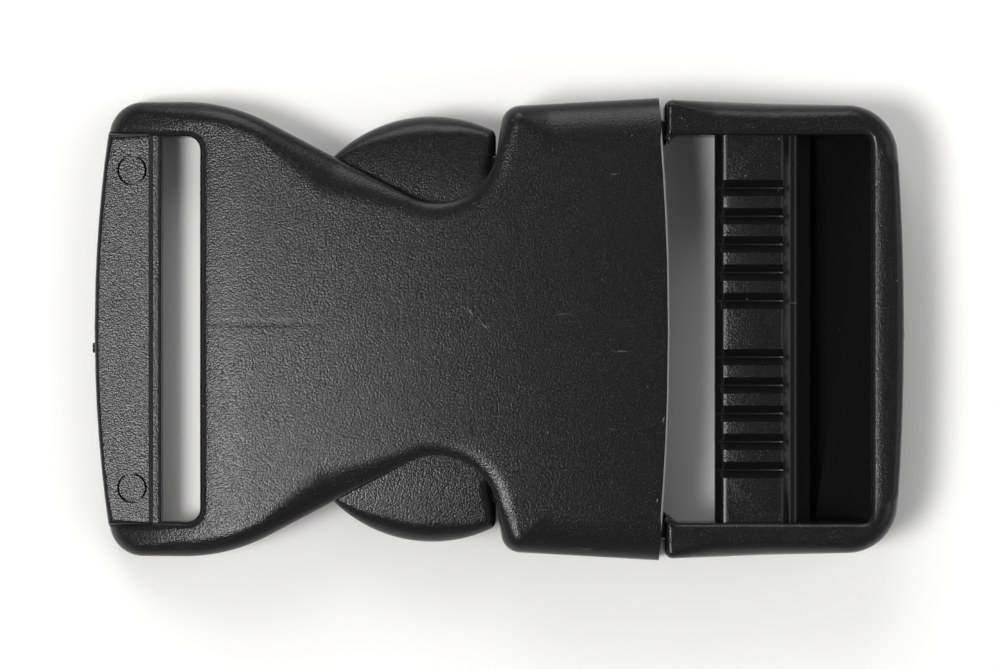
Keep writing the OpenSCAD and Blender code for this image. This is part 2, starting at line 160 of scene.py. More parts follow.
def close_outline(bm, mirrored=True):
    """Mirrors a half outline across the middle if asked, cuts its long runs short and fills it."""
    if mirrored:
        bmesh.ops.mirror(
            bm, geom=bm.verts[:] + bm.edges[:], matrix=Matrix.Identity(4), merge_dist=SAME_PLACE, axis="Y")
    bmesh.ops.remove_doubles(bm, verts=bm.verts[:], dist=SAME_PLACE)
    for edge in [edge for edge in bm.edges if edge.calc_length() > LONGEST_STEP]:
        bmesh.ops.subdivide_edges(bm, edges=[edge], cuts=int(edge.calc_length() / ARC_STEP))
    bmesh.ops.edgeloop_fill(bm, edges=bm.edges[:])
    face = bm.faces[:][0]
    if face.normal.z < 0:
        face.normal_flip()
    return face


# %% [markdown]
# ## Solids with a rolled edge
# A moulded plate has no sharp rim: its top turns over into its side through a quarter ellipse, wide
# on the rails and tight round the finger bays. The mesh grows the way a potter coils a wall. The
# flat outline is the foot, one extrusion lifts it, and each further ring is an inset of no width
# whose vertices then move in and up by the roll stored on them. Bisecting the lid along X and Y
# gives it a fine grid, and each grid vertex is lifted to the height of the moulding at that place.

# %% Rings and lids
LEAST_MITRE = 0.6
LID_SNAP = 0.02
FOOT_RINGS = 3


def inward_normals(face):
    """For each corner of a flat face that looks up, the way to its inside, longer at sharp corners."""
    ways = []
    for loop in face.loops:
        before = loop.link_loop_prev.vert.co
        after = loop.link_loop_next.vert.co
        a = (loop.vert.co - before).normalized()
        b = (after - loop.vert.co).normalized()
        along = (a + b).normalized()
        ways.append(Vector((-along.y, along.x, 0)) / max(LEAST_MITRE, along.dot(b)))
    return ways


def steps_between(low, high, step):
    count = max(1, round((high - low) / step))
    return [low + (high - low) * k / count for k in range(1, count)]


def lid_grid(bm, face, xs, ys, top_at):
    """Cuts a lid along X and Y and lifts its vertices to the height that top_at gives."""
    faces = [face]
    for normal, places in (((1, 0, 0), xs), ((0, 1, 0), ys)):
        for place in places:
            rim = list({e for f in faces for e in f.edges}) + list({v for f in faces for v in f.verts})
            cut = bmesh.ops.bisect_plane(
                bm, geom=faces + rim, dist=LID_SNAP, plane_co=Vector(normal) * place, plane_no=normal)
            faces = [item for item in cut["geom"] if isinstance(item, bmesh.types.BMFace)]
    for vert in {v for f in faces for v in f.verts}:
        vert.co.z = top_at(vert.co.x, vert.co.y)


def rolled_solid(bm, face, foot, foot_roll, top_at, grid=1.0, rings=9, extra_x=()):
    """A closed solid on a flat outline, with a rolled top edge and a small roll round its foot."""
    roll, drop = pen_layers(bm)
    rolls = [(loop.vert[roll], loop.vert[drop]) for loop in face.loops]
    home = [loop.vert.co.copy() for loop in face.loops]
    inward = inward_normals(face)
    spoke = bm.verts.layers.int.new("spoke")
    for i, loop in enumerate(face.loops):
        loop.vert[spoke] = i
    foot_rings = FOOT_RINGS if foot_roll else 0
    levels = [("foot", 90 * k / max(1, foot_rings)) for k in range(foot_rings + 1)]
    levels += [("top", 90 * k / max(1, rings)) for k in range(rings + 1)]

    def place(ring, kind, degrees):
        s, c = math.sin(math.radians(degrees)), math.cos(math.radians(degrees))
        for vert in ring.verts:
            i = vert[spoke]
            width, depth = rolls[i]
            if kind == "foot":
                turn = min(foot_roll, width) if rings else foot_roll
                spot = home[i] + inward[i] * turn * (1 - s)
                vert.co = (spot.x, spot.y, foot + turn * (1 - c))
            else:
                spot = home[i] + inward[i] * width * (1 - c)
                vert.co = (spot.x, spot.y, top_at(spot.x, spot.y) - depth * (1 - s))

    place(face, *levels[0])
    made = bmesh.ops.extrude_face_region(bm, geom=[face])
    ring = [item for item in made["geom"] if isinstance(item, bmesh.types.BMFace)][0]
    place(ring, *levels[1])
    for level in levels[2:]:
        bmesh.ops.inset_individual(bm, faces=[ring], thickness=0, depth=0, use_even_offset=False)
        place(ring, *level)
    low = Vector((min(p.x for p in home), min(p.y for p in home)))
    high = Vector((max(p.x for p in home), max(p.y for p in home)))
    xs = sorted([*steps_between(low.x, high.x, grid), *extra_x])
    lid_grid(bm, ring, xs, steps_between(low.y, high.y, grid), top_at)
    floor_height = min(vert.co.z for vert in bm.verts)
    floor = max((f for f in bm.faces if f.calc_center_bounds().z < floor_height + SAME_PLACE),
                key=lambda f: f.calc_area())
    wide = 5 * grid
    lid_grid(bm, floor, steps_between(low.x, high.x, wide), steps_between(low.y, high.y, wide),
             lambda x, y: floor_height)
    bmesh.ops.recalc_face_normals(bm, faces=bm.faces[:])


# %% [markdown]
# Bars and blocks are simpler. A bar is its profile pushed along Y, a block its plan pushed up, and
# both get their edges rolled with one bevel.

# %% Bars, blocks and their edges
def pushed(bm, corners, way):
    """A closed solid from one polygon pushed along way.

    It's built face by face, because an extrusion makes its walls in another order in each run, and
    the small bevels that come later depend on that order.
    """
    near = [bm.verts.new(corner) for corner in corners]
    far = [bm.verts.new(Vector(corner) + Vector(way)) for corner in corners]
    bm.faces.new(near)
    bm.faces.new(far)
    for i in range(len(corners)):
        bm.faces.new((near[i - 1], near[i], far[i], far[i - 1]))
    bmesh.ops.recalc_face_normals(bm, faces=bm.faces[:])


def bar_along_y(bm, profile, half):
    pushed(bm, [(x, -half, z) for x, z in profile], (0, 2 * half, 0))


def block(bm, plan, z0, z1):
    pushed(bm, [(x, y, z0) for x, y in plan], (0, 0, z1 - z0))


def roll_edges(bm, radius, keep=lambda edge: True, sharper_than=30, segments=3):
    """Rolls every edge that turns by more than an angle and that keep lets through."""
    sharp = [edge for edge in bm.edges
             if math.degrees(edge.calc_face_angle(0)) > sharper_than and keep(edge)]
    bmesh.ops.bevel(
        bm, geom=sharp, offset=radius, offset_type="OFFSET", affect="EDGES", segments=segments,
        profile=0.5, material=-1, clamp_overlap=True)


def runs_along_y(edge):
    """True for an edge that runs across the buckle for more than 1 mm."""
    return abs(edge.verts[0].co.y - edge.verts[1].co.y) > 1


# %% [markdown]
# ## Black plastic
# The photo shows two skins on one black plastic. The socket, the pads, the plug's frame and the
# lands of its ladder carry a spark-eroded pebble grain, each pebble about a quarter of a millimetre
# wide. The grooves, the shelf and the inner parts are smooth with a soft sheen. A third skin is a
# painted highlight: its pale base stands in for the glint along the broken edge of the mouth. All
# are the same Principled shader with other numbers. The shared effects are node groups that give
# out only heights and masks: one for the grain, one for scuffs and dust, and one for a single mark
# at its own place.

# %% Node helpers
def link(tree, source, target):
    tree.links.new(source, target)


def calculate(tree, operation, a, b=None, clamp=False):
    """One maths node. Its inputs are sockets or numbers, and its output socket comes back."""
    node = tree.nodes.new("ShaderNodeMath")
    node.operation = operation
    node.use_clamp = clamp
    for socket, value in zip(node.inputs, (a, b)):
        if isinstance(value, bpy.types.NodeSocket):
            tree.links.new(value, socket)
        elif value is not None:
            socket.default_value = value
    return node.outputs[0]


def ramp(tree, value, low, high):
    """0 below low, 1 above high and smooth between them, or the other way round if low is higher."""
    node = tree.nodes.new("ShaderNodeMapRange")
    node.interpolation_type = "SMOOTHSTEP"
    tree.links.new(value, node.inputs["Value"])
    node.inputs["From Min"].default_value = min(low, high)
    node.inputs["From Max"].default_value = max(low, high)
    node.inputs["To Min"].default_value = 0 if low < high else 1
    node.inputs["To Max"].default_value = 1 if low < high else 0
    return node.outputs["Result"]


def texture(tree, kind, where, scale, **inputs):
    node = tree.nodes.new(kind)
    tree.links.new(where, node.inputs["Vector"])
    node.inputs["Scale"].default_value = scale
    for name, value in inputs.items():
        node.inputs[name].default_value = value
    return node


def new_group(name, inputs, outputs):
    tree = bpy.data.node_groups.new(name, "ShaderNodeTree")
    for label, kind in inputs:
        tree.interface.new_socket(label, in_out="INPUT", socket_type=kind)
    for label in outputs:
        tree.interface.new_socket(label, in_out="OUTPUT", socket_type="NodeSocketFloat")
    return tree, tree.nodes.new("NodeGroupInput"), tree.nodes.new("NodeGroupOutput")


# %% [markdown]
# The pebble grain comes from the steel mould, which was eroded with sparks, so each pebble is a
# shallow pit in the steel and a shallow round bump on the plastic, no two alike. A Voronoi pattern
# gives bumps of one size, highest at the middles of its cells, and a finer noise breaks them up. The
# highest spots of that noise are raised once more, as they are what glints in the photo. Object
# coordinates are in metres, so a scale of 1000 divided by the pebble's width in millimetres gives
# pebbles of that width.

# %% Pebble grain
PEBBLE = 0.24
FINE = 0.55 * PEBBLE
COARSE = 3 * PEBBLE
DOME, FINE_SHARE, COARSE_SHARE, PEAK_SHARE = -0.9, 0.35, 0.08, 0.35

grain_group, grain_in, grain_out = new_group(
    "PebbleGrain", [("Where", "NodeSocketVector")], ["Height", "Pits"])
where = grain_in.outputs["Where"]
pebbles = texture(grain_group, "ShaderNodeTexVoronoi", where, 1000 / PEBBLE)
fine = texture(grain_group, "ShaderNodeTexNoise", where, 1000 / FINE, Detail=2.0, Roughness=0.6)
coarse = texture(grain_group, "ShaderNodeTexNoise", where, 1000 / COARSE, Detail=2.0)
height = calculate(grain_group, "MULTIPLY", pebbles.outputs["Distance"], DOME)
peaks = ramp(grain_group, fine.outputs["Fac"], 0.56, 0.70)
pits = ramp(grain_group, fine.outputs["Fac"], 0.5, 0.35)
for layer, share in (
    (fine.outputs["Fac"], FINE_SHARE),
    (coarse.outputs["Fac"], COARSE_SHARE),
    (peaks, PEAK_SHARE),
):
    height = calculate(grain_group, "ADD", height, calculate(grain_group, "MULTIPLY", layer, share))
link(grain_group, height, grain_out.inputs["Height"])
link(grain_group, pits, grain_out.inputs["Pits"])

# %% [markdown]
# A buckle that has lain on a shelf has a few marks: faint scuffs where it rubbed on others, and
# specks of dust that static holds on the black. Scuffs are a stretched noise of which only the
# crests are kept, and dust is the middles of a few Voronoi cells, picked by their random colour.

# %% Scuffs and dust
wear_group, wear_in, wear_out = new_group(
    "ScuffsAndDust", [("Where", "NodeSocketVector")], ["Scuffs", "Dust", "Patches"])
where = wear_in.outputs["Where"]
turned = wear_group.nodes.new("ShaderNodeMapping")
link(wear_group, where, turned.inputs["Vector"])
turned.inputs["Rotation"].default_value = (0.3, 0.2, 0.9)
turned.inputs["Scale"].default_value = (1, 9, 4)
streaks = texture(
    wear_group, "ShaderNodeTexNoise", turned.outputs["Vector"], 110, Detail=5.0, Roughness=0.65)
places = texture(wear_group, "ShaderNodeTexNoise", where, 60, Detail=2.0)
scuffs = calculate(
    wear_group, "MULTIPLY", ramp(wear_group, streaks.outputs["Fac"], 0.66, 0.76),
    ramp(wear_group, places.outputs["Fac"], 0.50, 0.62))
speck_spacing = 2.2
speck_r = 0.055
speck_share = 0.16
specks = texture(wear_group, "ShaderNodeTexVoronoi", where, 1000 / speck_spacing)
picked = wear_group.nodes.new("ShaderNodeSeparateColor")
link(wear_group, specks.outputs["Color"], picked.inputs["Color"])
dust = calculate(
    wear_group, "MULTIPLY", calculate(wear_group, "LESS_THAN", specks.outputs["Distance"], speck_r),
    calculate(wear_group, "LESS_THAN", picked.outputs[0], speck_share))
patches = texture(wear_group, "ShaderNodeTexNoise", where, 45, Detail=3.0, Roughness=0.55)
link(wear_group, scuffs, wear_out.inputs["Scuffs"])
link(wear_group, dust, wear_out.inputs["Dust"])
link(wear_group, patches.outputs["Fac"], wear_out.inputs["Patches"])

# %% [markdown]
# A few marks in the photo have their own place, such as two short scratches near the middle and the
# long shallow flow line beside the strap slot. Each is a thin ellipse on the surface: the
# coordinates are moved to its middle, turned along it and stretched, and everything closer than one
# unit belongs to the mark. A scratch is paler than the plastic, and the flow line is only a dip.
# Two pale marks on the mouth's broken edge are painted highlights for glints there.

# %% One mark at its own place
mark_group, mark_in, mark_out = new_group(
    "OneMark",
    [("Where", "NodeSocketVector"), ("Place", "NodeSocketVector"), ("Turn", "NodeSocketVector"),
     ("Stretch", "NodeSocketVector")], ["Mask"])
moved = mark_group.nodes.new("ShaderNodeMapping")
moved.vector_type = "TEXTURE"
link(mark_group, mark_in.outputs["Where"], moved.inputs["Vector"])
link(mark_group, mark_in.outputs["Place"], moved.inputs["Location"])
link(mark_group, mark_in.outputs["Turn"], moved.inputs["Rotation"])
link(mark_group, mark_in.outputs["Stretch"], moved.inputs["Scale"])
length = mark_group.nodes.new("ShaderNodeVectorMath")
length.operation = "LENGTH"
link(mark_group, moved.outputs["Vector"], length.inputs[0])
link(mark_group, ramp(mark_group, length.outputs["Value"], 1.0, 0.4), mark_out.inputs["Mask"])


# %% [markdown]
# ## One recipe for all skins
# The base colour stays near black and the roughness does the rest: pits are a little rougher than
# pebbles, scuffs are paler and rougher, dust is grey. The smooth skin takes the same recipe with a
# much lower bump, and the edge skin with a pale base, which is a painted highlight. The bump's
# distance is the real height of the grain.

# %% Build a skin
PAINT_SHARE = 0.75
PIT_ROUGHNESS = 0.04
MARK_ROUGHNESS = 0.05
MARK_DEPTH = 0.8
DUST_COLOUR = (0.16, 0.155, 0.145)


def black_plastic(name, colour, sheen, roughness, grain_height, patch_depth, scuff_light, marks=()):
    """A skin of the black plastic. A mark is (middle, turn, half sizes, paleness)."""
    material = bpy.data.materials.new(name)
    material.use_nodes = True
    tree = material.node_tree
    shader = tree.nodes["Principled BSDF"]
    where = tree.nodes.new("ShaderNodeTexCoord").outputs["Object"]
    groups = []
    for group in (grain_group, wear_group):
        node = tree.nodes.new("ShaderNodeGroup")
        node.node_tree = group
        link(tree, where, node.inputs["Where"])
        groups.append(node)
    grain, wear = groups
    pale_marks = cut_marks = wear.outputs["Scuffs"]
    for place, turn, size, paleness in marks:
        mark = tree.nodes.new("ShaderNodeGroup")
        mark.node_tree = mark_group
        link(tree, where, mark.inputs["Where"])
        mark.inputs["Place"].default_value = Vector(place) * MM
        mark.inputs["Turn"].default_value = (0, 0, math.radians(turn))
        mark.inputs["Stretch"].default_value = Vector(size) * MM
        pale = calculate(tree, "MULTIPLY", mark.outputs["Mask"], paleness)
        pale_marks = calculate(tree, "MAXIMUM", pale_marks, pale)
        cut_marks = calculate(tree, "MAXIMUM", cut_marks, mark.outputs["Mask"])
    scuff_colour = (scuff_light, scuff_light, scuff_light * 1.03)
    below = (*colour, 1)
    for mask, paint in ((pale_marks, scuff_colour), (wear.outputs["Dust"], DUST_COLOUR)):
        mix = tree.nodes.new("ShaderNodeMix")
        mix.data_type = "RGBA"
        if isinstance(below, tuple):
            mix.inputs["A"].default_value = below
        else:
            link(tree, below, mix.inputs["A"])
        mix.inputs["B"].default_value = (*paint, 1)
        link(tree, calculate(tree, "MULTIPLY", mask, PAINT_SHARE), mix.inputs["Factor"])
        below = mix.outputs["Result"]
    link(tree, below, shader.inputs["Base Color"])
    rough = calculate(tree, "MULTIPLY", wear.outputs["Patches"], patch_depth)
    rough = calculate(tree, "ADD", rough, roughness - 0.5 * patch_depth)
    for mask, share in ((grain.outputs["Pits"], PIT_ROUGHNESS), (cut_marks, MARK_ROUGHNESS)):
        rough = calculate(tree, "ADD", rough, calculate(tree, "MULTIPLY", mask, share), clamp=True)
    link(tree, rough, shader.inputs["Roughness"])
    shader.inputs["Specular IOR Level"].default_value = sheen
    bump = tree.nodes.new("ShaderNodeBump")
    bump.inputs["Distance"].default_value = grain_height * MM
    cut = calculate(tree, "MULTIPLY", cut_marks, MARK_DEPTH)
    link(tree, calculate(tree, "SUBTRACT", grain.outputs["Height"], cut), bump.inputs["Height"])
    link(tree, bump.outputs["Normal"], shader.inputs["Normal"])
    return material


# %% The marks and the three skins
marks_and_painted_glints = [
    ((-3.7, 2.3, 14.0), -50, (0.75, 0.13, 2), 1),
    ((-1.8, 0.4, 14.1), -42, (0.6, 0.12, 2), 1),
    # These two pale marks on the mouth's broken edge are painted highlights for glints there.
    ((22.0, -12.1, 14.0), 80, (0.5, 0.12, 3), 1),
    ((21.2, -22.8, 14.0), 75, (0.35, 0.12, 3), 1),
    ((-30.0, 0.8, 9.0), 0, (12, 0.8, 5), 0),
]
grained = black_plastic(
    "grained_black_plastic", colour=(0.0076, 0.0076, 0.0078), sheen=0.26, roughness=0.14,
    grain_height=0.026, patch_depth=0.02, scuff_light=0.14, marks=marks_and_painted_glints)
smooth = black_plastic(
    "smooth_black_plastic", colour=(0.006, 0.006, 0.0062), sheen=0.3, roughness=0.18,
    grain_height=0.002, patch_depth=0.04, scuff_light=0.05)
# This skin's pale base is a painted highlight for the glint along the mouth's broken edge.
glint_skin = black_plastic(
    "painted_glint_plastic", colour=(0.25, 0.25, 0.25), sheen=0.5, roughness=0.3,
    grain_height=0.03, patch_depth=0.1, scuff_light=0.4)
GRAINED, SMOOTH, GLINT = 0, 1, 2
print("skins", grained.name, smooth.name, glint_skin.name)


# %% [markdown]
# ## Joining and cutting
# The hollow of the socket is cut out of a whole block, as the steel core keeps the melt out of it,
# and the plug is grown together from its rails, bars, arms and pads. A Boolean modifier does both,
# and its result is kept as the mesh, so that the finished piece carries no hidden helpers.

# %% From bmesh to object, and one object with another
def new_object(bm, name, skin):
    mesh = bpy.data.meshes.new(name)
    for face in bm.faces:
        face.material_index = skin
    bm.to_mesh(mesh)
    bm.free()
    for material in (grained, smooth, glint_skin):
        mesh.materials.append(material)
    piece = bpy.data.objects.new(name, mesh)
    bpy.context.scene.collection.objects.link(piece)
    return piece


def combine(target, tool, operation):
    """Joins tool to target, cuts it away or keeps what they share, and keeps that as the mesh."""
    modifier = target.modifiers.new(operation, "BOOLEAN")
    modifier.operation = operation
    modifier.solver = "MANIFOLD"
    modifier.object = tool
    graph = bpy.context.evaluated_depsgraph_get()
    mesh = bpy.data.meshes.new_from_object(target.evaluated_get(graph))
    print(operation.lower(), tool.name, len(mesh.polygons), "faces")
    target.modifiers.clear()
    spent = (target.data, tool.data)
    target.data = mesh
    bpy.data.objects.remove(tool)
    for old in spent:
        bpy.data.meshes.remove(old)


DISC_SIDES = 48


def upright_disc(name, spot, radius, low, high, skin, edge=0):
    """A round disc from low to high along the Z axis of the matrix spot."""
    bm = bmesh.new()
    bmesh.ops.create_cone(
        bm, cap_ends=True, segments=DISC_SIDES, radius1=radius, radius2=radius, depth=high - low,
        matrix=spot @ Matrix.Translation((0, 0, (high + low) / 2)))
    if edge:
        roll_edges(bm, edge, sharper_than=60, segments=2)
    return new_object(bm, name, skin)


scar_r = 0.7
scar_half = 1
scar_edge = 0.08


def runner_scar(x, y, z, skin):
    """The round scar left where the runner was cut off, a short rod along X."""
    spot = Matrix.Translation((x, y, z)) @ Matrix.Rotation(math.pi / 2, 4, "Y")
    return upright_disc("runner_scar", spot, scar_r, -scar_half, scar_half, skin, edge=scar_edge)


# %% [markdown]
# ## The socket
# From the side the socket is a wedge. It is 15 mm thick at the mouth, where the plug's base goes in,
# and thins out to under 7 mm at the strap bar, ever faster towards the slot. Across, it is crowned
# by about half a millimetre, and along the slot its lip falls by a quarter of a millimetre more.
# One formula gives the height of the top, and the plate, the hollow and the bar all use it.

# %% Heights of the socket
lip_reach = 6
lip_fall = 0.26


def fall(x):
    return mouth_t - (mouth_t - strap_end_t) * ((mouth_x - min(x, mouth_x)) / (mouth_x - strap_x)) ** 2


def socket_top(x, y):
    lip = max(0, (slot_x1 + lip_reach - x) / lip_reach)
    return fall(x) - crown * (y / mouth_half) ** 2 - lip_fall * lip ** 2


def socket_ceiling(x, y=0):
    return fall(x) - crown - plate_t


def side_wall(x):
    return catch_half + (mouth_inner_half - catch_half) * (x - window_x1) / (mouth_x - window_x1)


def bowed_rows(x, bow, half, roll, drop):
    """Rows for an end that draws back towards both sides, from half to the middle."""
    return [(x + bow * (share * half / slot_half) ** 2, share * half, 0, roll, drop)
            for share in (0.85, 0.7, 0.55, 0.4, 0.25, 0)]


# %% [markdown]
# The finger bay is an arc between the slant of the neck and the lean of the shoulder, so its centre
# gives all the corners near it: the foot of the neck, the crest where the neck meets the rail, and
# the shoulder. The outline runs past the mouth, because the bowed mouth is cut off it afterwards.

# %% Corners of the socket's outline
strap_bow = 1.8
slot_lip = 1.0
bay_r = 8.2
bay_lean = math.radians(8)
neck_slant = math.radians(28)
shoulder_in = 0.2
bay_x = window_x1 - shoulder_in - bay_r * math.cos(bay_lean)
bay_centre = Vector((bay_x, waist_half + bay_r))
bay_turn = math.pi / 2 + neck_slant - bay_lean
bay_mid = -math.pi / 2 - neck_slant + bay_turn / 2
bay_corner = bay_centre + Vector((math.cos(bay_mid), math.sin(bay_mid))) * bay_r / math.cos(bay_turn / 2)
neck_foot = bay_centre - Vector((math.sin(neck_slant), math.cos(neck_slant))) * bay_r
crest_x = neck_foot.x - (strap_half - neck_foot.y) / math.tan(neck_slant)
neck_widest = 0.62
neck_mid = Vector((crest_x, strap_half)).lerp(neck_foot, neck_widest)
bay_top = bay_centre.y - bay_r * math.sin(bay_lean)
shoulder_x = window_x1 - shoulder_in + (shoulder_half - bay_top) * math.tan(bay_lean)
rail_inner_x = strap_x + strap_bow
rail_outer_x = strap_x + strap_bow * (strap_half / slot_half) ** 2
flare = (mouth_half - shoulder_half) / (mouth_x - shoulder_x)
past = 9
print("finger bay at", round(bay_centre.x, 2), round(bay_centre.y, 2), "shoulder at", round(shoulder_x, 2))

# %% The socket's plate with its rails, neck, bays and shoulders
rail_dome = 2.5
shoulder_run = 6
mouth_run = 4
underside_edge = 1.2

bm = bmesh.new()
draw_chain(bm, [
    (slot_x1 - slot_lip, 0, 0, slot_lip, 1),
    (slot_x1 - slot_lip, slot_half, 1.8, slot_lip, 1),
    (rail_inner_x + rail_dome, slot_half, 0, 1.6, 0.55),
    (rail_inner_x, slot_half, 0.6, 0.5, 0.4),
    (rail_outer_x, strap_half, 4.6, 1.7, 1.8),
    (crest_x, strap_half, 25, 2.6, 2.3),
    (neck_mid.x, neck_mid.y, 0, 5.5, 2.2),
    (bay_corner.x, bay_corner.y, bay_r, 2.4, 0.8),
    (shoulder_x, shoulder_half, 2.6, 2.3, 2.6),
    (shoulder_x + shoulder_run, shoulder_half + shoulder_run * flare, 0, 6, 3.2),
    (mouth_x - mouth_run, mouth_half - mouth_run * flare, 0, 6.5, 3.4),
    (mouth_x + past, mouth_half + past * flare, 0, 6.5, 3.4),
    (mouth_x + past, 0, 0, 1, 1),
])
rolled_solid(bm, close_outline(bm), foot=0, foot_roll=underside_edge, top_at=socket_top)
socket_shell = new_object(bm, "socket_shell", GRAINED)
print("socket plate", len(socket_shell.data.polygons), "faces")

# %% [markdown]
# The mouth is cut off along a bow, and its edge is broken by half a millimetre. Both are done at
# once by keeping only what lies in a larger block with that bowed and rolled edge.

# %% The bowed mouth
mouth_edge = 0.5
trim_edge = 0.35
trim_x0 = strap_x - 3
trim_foot = -1
trim_over = 0.02
around = mouth_half + 6
trim_bow = -mouth_bow * (slot_half / mouth_half) ** 2

bm = bmesh.new()
draw_chain(bm, [
    (trim_x0, 0, 0, trim_edge, trim_edge),
    (trim_x0, around, 0, trim_edge, trim_edge),
    *bowed_rows(mouth_x, trim_bow, around, mouth_edge, mouth_edge),
])
rolled_solid(
    bm, close_outline(bm), foot=trim_foot, foot_roll=0, top_at=lambda x, y: socket_top(x, y) + trim_over,
    rings=4)
combine(socket_shell, new_object(bm, "mouth_trim", GRAINED), "INTERSECT")

# %% [markdown]
# The strap bar closes the slot at the left. It lies nearly a millimetre below the rails, its outer
# edge is bowed, and a narrow step runs along the slot. The webbing is sewn round it, so its edges are
# only broken, and two ejector pins have pushed the moulding out of the steel near its ends.

# %% Height of the strap bar
slope_share = 0.95
strap_slope = slope_share * (fall(slot_x1) - fall(strap_x)) / (slot_x1 - strap_x)
bar_sink = 0.9
step_w = 1.65
step_run = 0.6
step_d = 0.5


def bar_top(x, y=0):
    stepped = min(1, max(0, (x - slot_x0 + step_w) / step_run))
    return fall(slot_x1) - crown - bar_sink - strap_slope * (slot_x1 - x) - step_d * stepped


# %% The strap bar
into_rail = 0.5
slot_edge = 0.4
bar_foot = 0.5
bar_half = slot_half + into_rail

bm = bmesh.new()
draw_chain(bm, [
    (slot_x0, 0, 0, slot_edge, slot_edge),
    (slot_x0, bar_half, 0, slot_edge, slot_edge),
    (strap_x + strap_bow * (bar_half / slot_half) ** 2, bar_half, 0, 0.9, 1),
    *bowed_rows(strap_x, strap_bow, bar_half, 0.6, 0.7),
])
rolled_solid(
    bm, close_outline(bm), foot=0, foot_roll=bar_foot, top_at=bar_top, rings=5,
    extra_x=(slot_x0 - step_w, slot_x0 - step_w + step_run))
combine(socket_shell, new_object(bm, "strap_bar", GRAINED), "UNION")

# %% Ejector marks and the scar of the runner
ejector_r = 1.75
ejector_x = strap_x + 5.1
ejector_y = slot_half - 4.5
ejector_ring = 0.3
ejector_d = 0.9
ejector_up = 0.04
clear_of_bar = 1
for side in (-1, 1):
    spot = Matrix.Translation((ejector_x, side * ejector_y, bar_top(ejector_x)))
    spot = spot @ Matrix.Rotation(-math.atan(strap_slope), 4, "Y")
    ring_r = ejector_r + ejector_ring
    ring = upright_disc("ejector_groove", spot, ring_r, -ejector_d, clear_of_bar, GRAINED)
    combine(socket_shell, ring, "DIFFERENCE")
    disc = upright_disc("ejector_disc", spot, ejector_r, -clear_of_bar, ejector_up, GRAINED)
    combine(socket_shell, disc, "UNION")

strap_scar_y = -2.5
scar_in = scar_half - scar_out
combine(socket_shell, runner_scar(strap_x + scar_in, strap_scar_y, strap_end_t / 2, GRAINED), "UNION")

# %% [markdown]
# The hollow takes the plug. Its floor is flat, its ceiling follows the top at the thickness of the
# plate, and on both sides it runs out through the bays, so that the pads can be pressed.

# %% The hollow
slot_wall = 3.2
nose_flare = 4.6
core_x = slot_x1 + slot_wall
nose_half = waist_half + nose_flare

bm = bmesh.new()
draw_chain(bm, [(x, y, 0, 0, 0) for x, y in (
    (core_x, 0),
    (core_x, waist_half),
    (window_x0, nose_half),
    (window_x0, around),
    (window_x1, around),
    (window_x1, catch_half),
    (mouth_x + past, side_wall(mouth_x + past)),
    (mouth_x + past, 0),
)])
rolled_solid(
    bm, close_outline(bm), foot=plate_t, foot_roll=0, top_at=socket_ceiling, grid=2.0, rings=0)
combine(socket_shell, new_object(bm, "hollow", GRAINED), "DIFFERENCE")

# %% [markdown]
# ## The plug
# Outside the socket the plug is a square frame with a shelf and a grooved bar that grips the
# webbing. Inside it has a base as wide as the mouth, a guide prong and two arms that end in the
# press pads. The frame comes first, as one U of rails and end bar. The end bar's top is rounded by
# a quarter of a millimetre, which fades out before the rails.

# %% Height of the plug's frame
end_crown = 0.25
crown_fade = 3


def frame_top(x, y):
    across = max(0, min(1, (slot_half - abs(y)) / crown_fade))
    share = 2 * (x - end_bar_x0) / (end_x - end_bar_x0) - 1
    return frame_z1 - end_crown * across * min(1, share ** 2)


# %% The plug's rails and end bar
side_in = 0.9
end_bow = 1.0
frame_lip = 0.8
end_edge = 0.9
frame_foot = 1.4

bm = bmesh.new()
draw_chain(bm, [
    (end_bar_x0, 0, 0, frame_lip, frame_lip),
    (end_bar_x0, slot_half, 1, frame_lip, frame_lip),
    (frame_x0 + 1.6, slot_half, 0, frame_lip, frame_lip),
    (frame_x0, slot_half - 1.3, 0, 0.9, 1),
    (frame_x0, frame_half, 1.0, 0.9, 1.2),
    (frame_x0 + 7, frame_half - 0.2 * side_in, 0, 2.6, 3.4),
    (end_x - 18, frame_half - 0.5 * side_in, 0, 2.6, 3.4),
    (end_x - 8.6, frame_half - 0.75 * side_in, 0, 2.1, 2.5),
    (end_x - 1.1, frame_half - side_in, 6.8, 2, 2.2),
    *bowed_rows(end_x, -end_bow, slot_half, end_edge, end_edge),
])
rolled_solid(bm, close_outline(bm), foot=frame_z0, foot_roll=frame_foot, top_at=frame_top)
plug_shell = new_object(bm, "plug_shell", GRAINED)
print("plug frame", len(plug_shell.data.polygons), "faces")

# %% [markdown]
# The ladder bar is a profile pushed across the frame. Its flat land is cut by V grooves, five on
# each side of a plain middle. Each groove is four cuts across the bar: the outer two stay at the
# height of the land, and the vertices on the inner two sink.

# %% The ladder bar
ladder_z0 = 6.4
ladder_z1 = 11.0
land_z1 = 12.2
land_in = 0.75
land_w = 8.5
land_fall = 0.7
land_x0 = ladder_x0 + land_in
land_x1 = land_x0 + land_w
nose = 0.8
land_edge = 0.4
ladder_edge = 0.18
reach = slot_half + into_rail

bm = bmesh.new()
bar_along_y(bm, [
    (ladder_x0 + nose, ladder_z0),
    (ladder_x0, ladder_z0 + nose),
    (ladder_x0, ladder_z1 - nose),
    (land_x0 - land_edge, ladder_z1),
    (land_x0, land_z1 - land_edge),
    (land_x0 + 0.25, land_z1 - 0.13),
    (land_x0 + 0.95, land_z1),
    (land_x1 - land_edge, land_z1),
    (land_x1, land_z1 - land_edge),
    (land_x1 + land_fall, ladder_z1),
    (ladder_x1 - land_edge, ladder_z1),
    (ladder_x1, ladder_z1 - land_edge),
    (ladder_x1, ladder_z0 + nose),
    (ladder_x1 - nose, ladder_z0),
], reach)
roll_edges(bm, ladder_edge, keep=runs_along_y, sharper_than=20)

